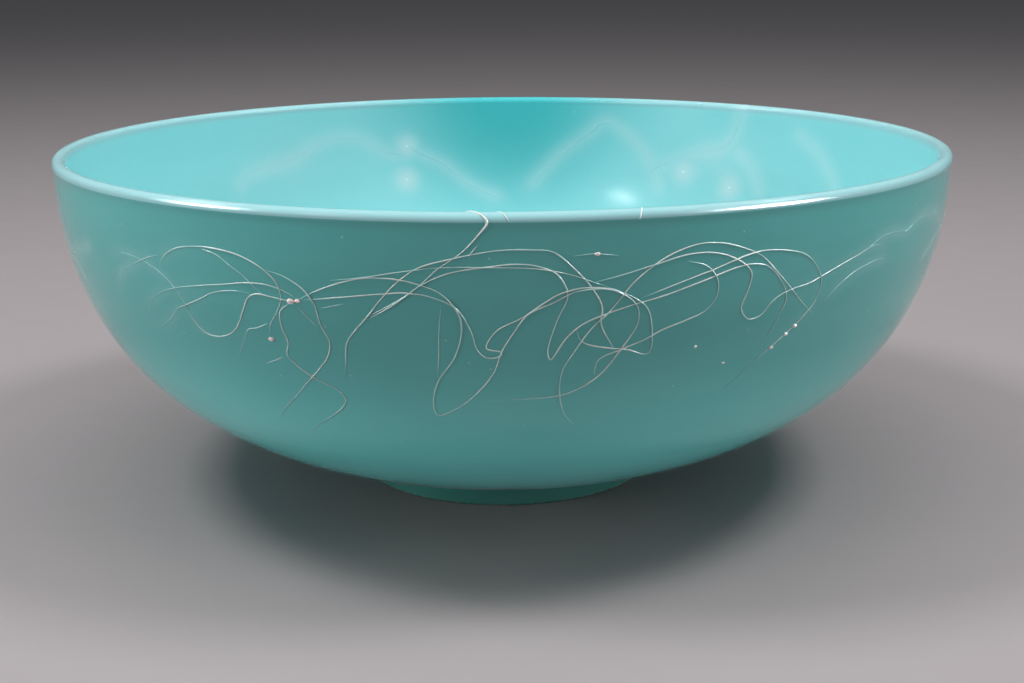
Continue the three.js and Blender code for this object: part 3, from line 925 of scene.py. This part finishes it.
@dataclass
class BowlBody:
    """The blown body: one heavy-walled shell, a fire-polished lip and halos of milk under the threads."""

    section: BowlSection
    finish: TurquoiseOpaline = field(default_factory=TurquoiseOpaline)
    steps_round: int = 448
    upper_rows: int = 66
    lower_rows: int = 20
    lip_rows: int = 18
    decorated: float = 62 * MM
    edge_rows: tuple[float, ...] = (0.15 * MM, 0.45 * MM, 0.8 * MM)
    halo_cut: float = 1.8
    fall_off: float = 2.0
    # Heights below the lip line over which the lip's painted lit colour gives way to the outer wall's
    # colour.
    lit_colour_edge: tuple[float, float] = (-0.12 * MM, -0.02 * MM)

    def face_points(self, face: Face) -> list[tuple[float, float]]:
        """One face's profile from the lip line to the axis, finer where the threads lie.

        Args:
            face: the face of the wall.

        Returns:
            (radius, height) points.
        """
        line = self.section.lip_line
        turn = self.section.share_where(face, line - self.decorated)
        shares = [0.0, *(self.section.share_where(face, line - row) for row in self.edge_rows)]
        shares += [turn * i / self.upper_rows for i in range(1, self.upper_rows)]
        shares += [turn + (1 - turn) * i / self.lower_rows for i in range(self.lower_rows + 1)]
        points = [self.section.at(face, t) for t in shares]
        if face is Face.OUTSIDE:
            points = [(r + self.section.proud(line - z), z) for r, z in points]
        return points

    def build(self) -> Piece:
        """Spins the whole section.

        Returns:
            The wall.
        """
        section = self.section
        middle = section.lip_radius - section.lip_round
        lip = []
        for i in range(1, self.lip_rows):
            turn = math.pi * i / self.lip_rows
            radius, height = section.lip_round * math.cos(turn), section.lip_round * math.sin(turn)
            lip.append((middle + radius, section.lip_line + height))
        profile = [*reversed(self.face_points(Face.OUTSIDE)), *lip, *self.face_points(Face.INSIDE)]
        return spun_piece("glass_wall", profile, self.steps_round, closed=False)

    def melt_halos(self, wall: Piece, spots: list[MilkSpot]) -> None:
        """Stores how strongly the milk of the threads has bled into the glass at each vertex.

        Args:
            wall: the wall, already marked with its inside.
            spots: the places the milk spreads from.
        """
        inside = wall.data.attributes["inside"].data
        melt = wall.data.attributes.new("melt", "FLOAT", "POINT")
        values = [0.0] * len(wall.data.vertices)
        for face in Face:
            near = [spot for spot in spots if spot.face is face and spot.strength > 0]
            if not near:
                continue
            tree = search_tree([spot.place for spot in near])
            widest = self.halo_cut * max(spot.reach for spot in near)
            for vertex in wall.data.vertices:
                if (inside[vertex.index].value > 0.5) is (face is Face.INSIDE):
                    found = tree.find_range(vertex.co, widest)
                    values[vertex.index] = max(
                        (near[i].strength * math.exp(-self.fall_off * (d / near[i].reach) ** 2)
                         for _, i, d in found),
                        default=0.0,
                    )
        melt.data.foreach_set("value", values)

    def mark_inside(self, wall: Piece) -> None:
        """Stores 1 at the vertices of the inner face and of the lip's upward-facing top, which take the
        painted lit colour, 0 on the outer one, and a quick change between them just below the lip line.

        Args:
            wall: the wall.
        """
        inside = wall.data.attributes.new("inside", "FLOAT", "POINT")
        line, (low, high) = self.section.lip_line, self.lit_colour_edge
        values = []
        for vertex in wall.data.vertices:
            if vertex.normal.z > 0 or vertex.normal.dot(vertex.co.xy.to_3d()) < 0:
                values.append(1.0)
            else:
                values.append(min(1.0, max(0.0, (vertex.co.z - line - low) / (high - low))))
        inside.data.foreach_set("value", values)

    def make(self, spots: list[MilkSpot]) -> None:
        """Builds and dresses the wall.

        Args:
            spots: the places the milk of the threads spreads from.
        """
        wall = self.build()
        self.mark_inside(wall)
        self.melt_halos(wall, spots)
        settle(wall, Slot.WALL, self.finish.make(), "bowl_wall")


@dataclass
class FootCollar:
    """The applied foot ring, fused to the underside with a soft fillet."""

    section: BowlSection
    finish: FootGlass = field(default_factory=FootGlass)
    radius: float = 44 * MM
    width: float = 7 * MM
    bevel: float = 0.8 * MM
    fillet: float = 1.2 * MM
    fillet_rows: tuple[tuple[float, float], ...] = ((0.0, 0.55), (0.25, 0.8), (1.0, 1.0))
    sunk: float = 0.1 * MM
    pressed: float = 0.3 * MM
    bevel_rows: int = 5
    steps_round: int = 192

    def ceiling(self, radius: float) -> float:
        """Height of the wall's underside at a radius."""
        return self.section.at(Face.OUTSIDE, self.section.share_where(Face.OUTSIDE, radius, axis=0))[1]

    def build(self) -> Piece:
        """Spins the ring's closed section.

        Returns:
            The ring.
        """
        inner = self.radius - self.width
        profile: list[tuple[float, float]] = []
        for centre, start in ((inner + self.bevel, math.pi), (self.radius - self.bevel, 1.5 * math.pi)):
            for i in range(self.bevel_rows + 1):
                turn = start + (math.pi / 2) * i / self.bevel_rows
                side, up = self.bevel * math.cos(turn), self.bevel * math.sin(turn)
                profile.append((centre + side, self.bevel + up))
        for grow, share in self.fillet_rows:
            radius = self.radius + self.fillet * grow
            profile.append((radius, self.bevel + (self.ceiling(radius) + self.sunk - self.bevel) * share))
        for i in range(1, self.bevel_rows + 1):
            radius = self.radius + self.fillet - (self.width + self.fillet) * i / self.bevel_rows
            profile.append((radius, self.ceiling(radius) + self.pressed))
        return spun_piece("foot_collar", profile, self.steps_round, closed=True)

    def make(self) -> None:
        """Builds and dresses the ring."""
        settle(self.build(), Slot.FOOT, self.finish.make(), "foot_ring")


@dataclass
class WhiteWork:
    """White glass laid on the wall, with a finish for each face."""

    section: BowlSection
    outer: WhiteCane
    inner: WhiteCane
    materials: dict[Face, bpy.types.Material] = field(default_factory=dict, init=False)

    def dress(self) -> None:
        """Makes the finishes."""
        self.materials = {Face.OUTSIDE: self.outer.make(), Face.INSIDE: self.inner.make()}


@dataclass
class ThreadWork(WhiteWork):
    """All the trailed threads: each is a fine tapered cane melted half into the glass."""

    step: float = 0.7
    rise: float = 0.2 * MM
    crossing: float = 0.5 * MM
    longest_tail: float = 0.3
    near_lip: float = 5.0
    lip_swell: float = 0.7
    tip: float = 0.4
    taper: float = 0.6
    fade: float = 0.8
    end_sink: float = 0.45
    wander: tuple[float, float] = (-0.5, 0.9)
    unevenness: float = 0.22
    patchiness: float = 0.16
    patch_pace: float = 0.37
    easing: int = 2
    shoulder: tuple[float, float, float, float] = (30.0, 49.0, 98.0, 118.0)
    shoulder_melt: float = 0.96
    shoulder_sink: float = 1.056
    # Milk halo of the threads round the flanks. It is partly a painted sheen that lightens the outer wall
    # there.
    shoulder_milk_and_sheen: float = 0.37
    seed: int = 11
    laid: list[tuple[Vector, float]] = field(default_factory=list)
    spots: list[MilkSpot] = field(default_factory=list)

    def lifts(self, points: list[Vector]) -> list[float]:
        """How much higher a thread lies where it crosses ones already laid.

        Args:
            points: the thread's places on the glass.

        Returns:
            The extra lift at each place, eased on both sides.
        """
        raw = [0.0] * len(points)
        if self.laid:
            tree = search_tree([point for point, _ in self.laid])
            for i, point in enumerate(points):
                near = tree.find_range(point, self.crossing)
                raw[i] = max((self.laid[n][1] + self.rise for _, n, _ in near), default=0.0)
        eased = []
        for i, lift in enumerate(raw):
            around = raw[max(0, i - self.easing):i + self.easing + 1]
            eased.append((sum(around) / len(around) + lift) / 2)
        return eased

    def ends(self, name: str, points: list[Vector]) -> list[float]:
        """How fully a thread stands out along its length, from 0 at its tips to 1.

        Args:
            name: the thread.
            points: its places on the glass.

        Returns:
            The share at each place.
        """
        steps = [0.0, *((b - a).length for a, b in zip(points, points[1:]))]
        total, along, shares = sum(steps), 0.0, []
        first, last = (min(tail * MM, self.longest_tail * total) for tail in TAILS.get(name, USUAL_TAILS))
        for step in steps:
            along += step
            shares.append(min(1.0, along / first, (total - along) / last))
        return [max(0.0, share) for share in shares]

    def past_shoulder(self, degrees: float) -> float:
        """How far a place lies round the side, where the threads have sunk in further.

        Args:
            degrees: its angle round the axis.

        Returns:
            The share, from 0 to 1.
        """
        low, high, far, end = self.shoulder
        turn = abs((degrees + 180) % 360 - 180)
        return min(1.0, max(0.0, (turn - low) / (high - low)), max(0.0, (end - turn) / (end - far)))

    def mark_melted(self, piece: Piece, points: list[Vector], melted: list[float]) -> None:
        """Stores on a cane how much of its white the glass has swallowed.

        Args:
            piece: the cane.
            points: places along it.
            melted: the share at each place.
        """
        tree = search_tree(points)
        store = piece.data.attributes.new("melted", "FLOAT", "POINT")
        store.data.foreach_set("value", [melted[tree.find(v.co)[1]] for v in piece.data.vertices])

    def lay(self, name: str, route: Route, trail: Trail, face: Face) -> None:
        """Lays one thread.

        Args:
            name: the CAD node it stands for.
            route: its route.
            trail: how it is laid.
            face: the face it mostly lies on.
        """
        rng = random.Random(self.seed + len(self.spots))
        places = smooth_route(route, self.step, self.section.lip_radius / MM)
        ground = [self.section.place(a, d * MM, 0)[0] for a, d in places]
        lifts, ends = self.lifts(ground), self.ends(name, ground)
        self.laid += list(zip(ground, lifts))
        drawn = bpy.data.curves.new(name + "_cane", "CURVE")
        drawn.dimensions, drawn.bevel_depth, drawn.bevel_resolution = "3D", trail.radius, 2
        drawn.use_fill_caps = True
        spline = drawn.splines.new("POLY")
        spline.points.add(len(places) - 1)
        wobble, melted = rng.uniform(0, math.tau), []
        for i, (degrees, drop) in enumerate(places):
            side = self.past_shoulder(degrees) if face is Face.OUTSIDE else 0.0
            lip = max(0.0, 1 - abs(drop) / self.near_lip) if face is Face.OUTSIDE else 0.0
            wobble += rng.uniform(*self.wander)
            uneven = 1 + self.unevenness * math.sin(wobble)
            patchy = self.patchiness * math.sin(self.patch_pace * wobble)
            sunk = 1 - (1 - trail.melted) * ends[i] ** self.fade * (1 - self.shoulder_melt * side)
            melted.append(min(1.0, max(0.0, (sunk + patchy) * (1 - lip))))
            # Milk halo, stronger round the flanks, where it is partly a painted sheen.
            halo = (trail.halo + self.shoulder_milk_and_sheen * side) * ends[i]
            self.spots.append(MilkSpot(ground[i], halo, trail.reach, face))
            stand = trail.stand - self.end_sink * (1 - ends[i]) - self.shoulder_sink * side
            spot, _ = self.section.place(degrees, drop * MM, trail.radius * stand + lifts[i])
            spline.points[i].co = (*spot, 1)
            taper = self.tip + (1 - self.tip) * ends[i] ** self.taper
            spline.points[i].radius = taper * uneven * (1 + self.lip_swell * lip)
        piece = bpy.data.objects.new(name + "_cane", drawn)
        bpy.context.scene.collection.objects.link(piece)
        deselect_all()
        piece.select_set(True)
        bpy.context.view_layer.objects.active = piece
        bpy.ops.object.convert(target="MESH")
        piece = bpy.context.object
        piece.data.name = piece.name
        bpy.ops.object.shade_smooth()
        self.mark_melted(piece, ground, melted)
        settle(piece, Slot.THREAD, self.materials[face], name)

    def make(self) -> None:
        """Lays every thread in order."""
        self.dress()
        for routes, trail, face in (
            (MAIN_THREADS, Trail(0.135 * MM, 0.42), Face.OUTSIDE),
            (FINE_THREADS, Trail(0.10 * MM, 0.50), Face.OUTSIDE),
            (BACK_THREADS, Trail(0.135 * MM, 0.42), Face.OUTSIDE),
            (INNER_THREADS, Trail(0.12 * MM, 0.90, halo=0.62, reach=4.8 * MM, stand=-0.45), Face.INSIDE),
        ):
            for name, route in routes.items():
                self.lay(name, route, trail, face)


@dataclass
class BeadWork(WhiteWork):
    """The small drops and knots: each a slightly lumpy flattened drop pressed on to the glass."""

    drawn_out: tuple[float, float] = (1.3, 0.85)
    flat: float = 0.72
    inner_flat: float = 0.22
    sunk: float = 0.2
    inner_sunk: float = -0.12
    lumps: float = 0.26
    milk: float = 1.6
    milk_reach: float = 6.2 * MM
    inner_share: float = 0.6

    def spots(self) -> list[MilkSpot]:
        """Where the drops on the inside have bled milk into the glass.

        Returns:
            The places.
        """
        return [
            MilkSpot(self.section.place(degrees, drop * MM, 0)[0], self.milk, self.milk_reach, Face.INSIDE)
            for degrees, drop, _ in BEADS.values()
            if drop < 0
        ]

    def press(self, name: str, degrees: float, drop: float, size: float, seed: int) -> None:
        """Presses one drop on to the glass.

        Args:
            name: the CAD node it stands for.
            degrees: where it lies round the axis.
            drop: how far down it lies, in metres.
            size: its radius in metres.
            seed: seed of its lumps.
        """
        outside = drop >= 0
        sunk, flat = (self.sunk, self.flat) if outside else (self.inner_sunk, self.inner_flat)
        spot, normal = self.section.place(degrees, drop, size * sunk)
        deselect_all()
        bpy.ops.mesh.primitive_ico_sphere_add(subdivisions=2, radius=size, location=(0, 0, 0))
        piece = bpy.context.object
        piece.name = piece.data.name = name + "_drop"
        bpy.ops.object.mode_set(mode="EDIT")
        bpy.ops.mesh.select_all(action="SELECT")
        bpy.ops.transform.vertex_random(offset=size * self.lumps, uniform=0.3, normal=0.7, seed=seed)
        bpy.ops.transform.resize(value=(*self.drawn_out, flat), center_override=(0, 0, 0))
        bpy.ops.object.mode_set(mode="OBJECT")
        soft = piece.modifiers.new("soften", "SUBSURF")
        soft.levels = soft.render_levels = 2
        bpy.ops.object.modifier_apply(modifier=soft.name)
        piece.rotation_mode = "QUATERNION"
        piece.rotation_quaternion = normal.to_track_quat("Z", "Y")
        piece.location = spot
        bpy.ops.object.transform_apply(location=True, rotation=True, scale=True)
        bpy.ops.object.shade_smooth()
        settle(piece, Slot.BEAD, self.materials[Face.OUTSIDE if outside else Face.INSIDE], name)

    def make(self) -> None:
        """Presses every drop."""
        self.dress()
        for seed, (name, (degrees, drop, size)) in enumerate(BEADS.items()):
            self.press(name, degrees, drop * MM, size * (1 if drop >= 0 else self.inner_share) * MM, seed)


@dataclass
class Lamp:
    """A soft studio light, square or a strip that runs from its place to its far end.

    Places and sizes are in metres and power is in watts. A light that isn't mirrored only brightens
    and shows in no gloss; one that doesn't brighten only shows in gloss. spread is the angle of its beam
    in degrees.
    """

    name: str
    place: tuple[float, float, float]
    size: float
    power: float
    far_end: tuple[float, float, float] | None = None
    aim: tuple[float, float, float] = (0, 0, 0.09)
    mirrored: bool = True
    brightens: bool = True
    spread: float = 180.0

    def make(self) -> None:
        """Hangs the light and turns it to its aim, a strip with its length along its two ends."""
        first, last = Vector(self.place), Vector(self.far_end or self.place)
        light = bpy.data.lights.new(self.name, "AREA")
        light.shape = "RECTANGLE" if self.far_end else "SQUARE"
        light.size, light.energy, light.spread = self.size, self.power, math.radians(self.spread)
        lamp = bpy.data.objects.new(self.name, light)
        lamp.location = (first + last) / 2
        back = (lamp.location - Vector(self.aim)).normalized()
        turn = back.to_track_quat("Z", "Y")
        if self.far_end:
            along = last - first
            light.size_y = along.length
            along = (along - back * along.dot(back)).normalized()
            turn = Matrix((along.cross(back), along, back)).transposed().to_quaternion()
        lamp.rotation_mode = "QUATERNION"
        lamp.rotation_quaternion = turn
        lamp.visible_camera = False
        lamp.visible_glossy, lamp.visible_diffuse = self.mirrored, self.brightens
        bpy.context.scene.collection.objects.link(lamp)
        log.info("light %s at %s", self.name, self.place)


@dataclass
class Studio:
    """The table, the lights and the camera."""

    table: PaleTable = field(default_factory=PaleTable)
    table_size: float = 60.0
    lens: float = 50.0
    eye: tuple[float, float, float] = (2.3 * MM, -414.8 * MM, 148.1 * MM)
    pitch: float = 15.17
    roll: float = 0.4
    world_colour: Colour = (0.80, 0.84, 0.88, 1)
    world_strength: float = 0.18
    lamps: tuple[Lamp, ...] = (
        Lamp("left_strip", (-0.896, 0.025, 0.879), 0.14, 1.6, (-0.594, 0.501, 0.915), brightens=False),
        Lamp("right_strip", (0.843, -0.083, 0.936), 0.16, 1.2, (0.539, 0.462, 0.969), brightens=False),
        Lamp(
            "left_gleam", (-0.210, -0.101, 0.158), 0.07, 0.022, (-0.178, -0.147, 0.178),
            aim=(-0.065, -0.108, 0.0965), brightens=False, spread=32,
        ),
        Lamp(
            "right_gleam", (0.213, -0.132, 0.130), 0.12, 0.125, (0.162, -0.179, 0.172),
            aim=(0.0595, -0.111, 0.096), brightens=False, spread=32,
        ),
        Lamp("window", (-0.615, -0.690, 0.655), 0.05, 0.6, (-0.664, -0.575, 0.736), brightens=False),
        Lamp("left_high", (-0.60, -0.16, 1.05), 0.30, 9.0, mirrored=False),
        Lamp("right_high", (0.60, -0.16, 1.05), 0.30, 9.0, mirrored=False),
        Lamp("ceiling", (0.0, -0.2, 1.8), 1.3, 17.0, mirrored=False),
        Lamp("left_front", (-1.55, -0.50, 0.30), 0.4, 0.62, mirrored=False, spread=40),
        Lamp("right_front", (1.55, -0.50, 0.30), 0.4, 0.40, mirrored=False, spread=40),
    )

    def lay_table(self) -> None:
        """Lays the plain pale table."""
        deselect_all()
        bpy.ops.mesh.primitive_plane_add(size=self.table_size, location=(0, 0, 0))
        top = bpy.context.object
        top.name = "table_top"
        top.data.materials.append(self.table.make())

    def fill_light(self) -> None:
        """Sets the even light of the room."""
        world = bpy.data.worlds.new("studio_room")
        world.use_nodes = True
        room = world.node_tree.nodes["Background"]
        room.inputs["Color"].default_value = self.world_colour
        room.inputs["Strength"].default_value = self.world_strength
        bpy.context.scene.world = world
        bpy.context.scene.view_settings.view_transform = "Standard"

    def set_camera(self) -> None:
        """Places the camera in front of the bowl, looking a little down."""
        data = bpy.data.cameras.new("eye")
        data.lens, data.sensor_width = self.lens, 36.0
        data.clip_start, data.clip_end = 0.01, 50.0
        camera = bpy.data.objects.new("eye", data)
        camera.location = self.eye
        camera.rotation_mode = "QUATERNION"
        tilt, lean = math.radians(90 - self.pitch), math.radians(-self.roll)
        camera.rotation_quaternion = Quaternion((1, 0, 0), tilt) @ Quaternion((0, 0, 1), lean)
        bpy.context.scene.collection.objects.link(camera)
        bpy.context.scene.camera = camera

    def make(self) -> None:
        """Sets up everything that isn't the bowl."""
        self.set_camera()
        self.lay_table()
        self.fill_light()
        for lamp in self.lamps:
            lamp.make()


def main() -> None:
    """Builds the threads, the wall they melt into, the foot, the drops and the studio."""
    logging.basicConfig(level=logging.INFO, format="%(message)s")
    section = BowlSection()
    # The colours the threads' white melts into. The outer one is lighter than the wall: painted light that
    # hides the shade along the threads' undersides. The inner one is the inside's painted lit colour.
    glass, lit_lining = (0.19, 0.50, 0.49, 1), (0.27, 0.56, 0.58, 1)
    threads = ThreadWork(
        section,
        WhiteCane("white_cane", (0.84, 0.85, 0.83, 1), (0.64, 0.62, 0.58, 1), glass, scale=120.0),
        WhiteCane("sunken_cane", (0.62, 0.72, 0.74, 1), (0.54, 0.66, 0.68, 1), lit_lining, scale=120.0),
    )
    drops = BeadWork(
        section,
        WhiteCane("white_drop", (0.88, 0.86, 0.84, 1), (0.78, 0.60, 0.58, 1), glass, scale=420.0),
        WhiteCane("sunken_drop", (0.50, 0.68, 0.68, 1), (0.44, 0.64, 0.65, 1), lit_lining, scale=420.0),
    )
    threads.make()
    BowlBody(section).make(threads.spots + drops.spots())
    FootCollar(section).make()
    drops.make()
    Studio().make()


if __name__ == "__main__":
    main()
